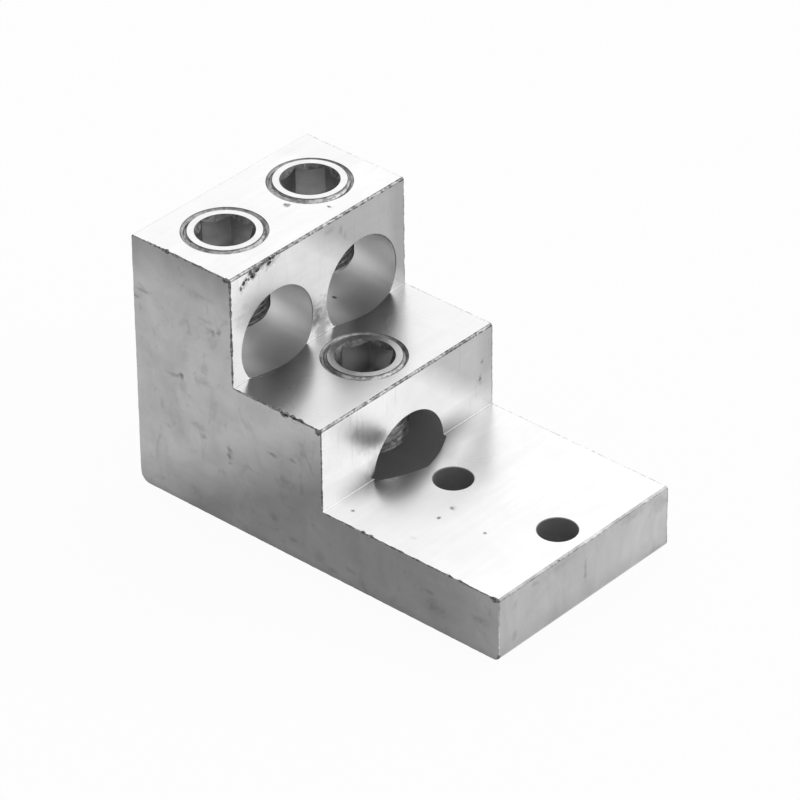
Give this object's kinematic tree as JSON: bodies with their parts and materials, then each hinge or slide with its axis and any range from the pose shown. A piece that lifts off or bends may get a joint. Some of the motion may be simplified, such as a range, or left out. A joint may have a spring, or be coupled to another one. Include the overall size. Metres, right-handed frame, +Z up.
{
  "type": "three-port mechanical lug",
  "caption": "Stepped aluminium mechanical lug with through wire ports on two tiers, a hex-socket set screw over each port, and a flat tang with bolt holes.",
  "frame": {"origin": "centre of the bounding rectangle of the base, on the base", "axes": "+X from the back face to the end of the tang, +Z up through the tiers, left is -Y and right is +Y seen from the end of the tang"},
  "size_m": [0.1576, 0.0844, 0.0969],
  "materials": {
    "tin_plated_aluminium": "satin",
    "screw_aluminium": "satin"
  },
  "bodies": {
    "body": {"lug_body": "tin_plated_aluminium"},
    "top_left_screw": {"set_screw_top_left": "screw_aluminium"},
    "top_right_screw": {"set_screw_top_right": "screw_aluminium"},
    "middle_screw": {"set_screw_middle": "screw_aluminium"}
  },
  "joints": [
    {"name": "top_left_screw_travel", "type": "slide", "parent": "body", "child": "top_left_screw", "axis": [0, 0, 1], "range_m": [-0.01058, 0.01693]},
    {"name": "top_right_screw_travel", "type": "slide", "parent": "body", "child": "top_right_screw", "axis": [0, 0, 1], "range_m": [-0.01058, 0.01693]},
    {"name": "middle_screw_travel", "type": "slide", "parent": "body", "child": "middle_screw", "axis": [0, 0, 1], "range_m": [-0.01058, 0.01693]}
  ]
}
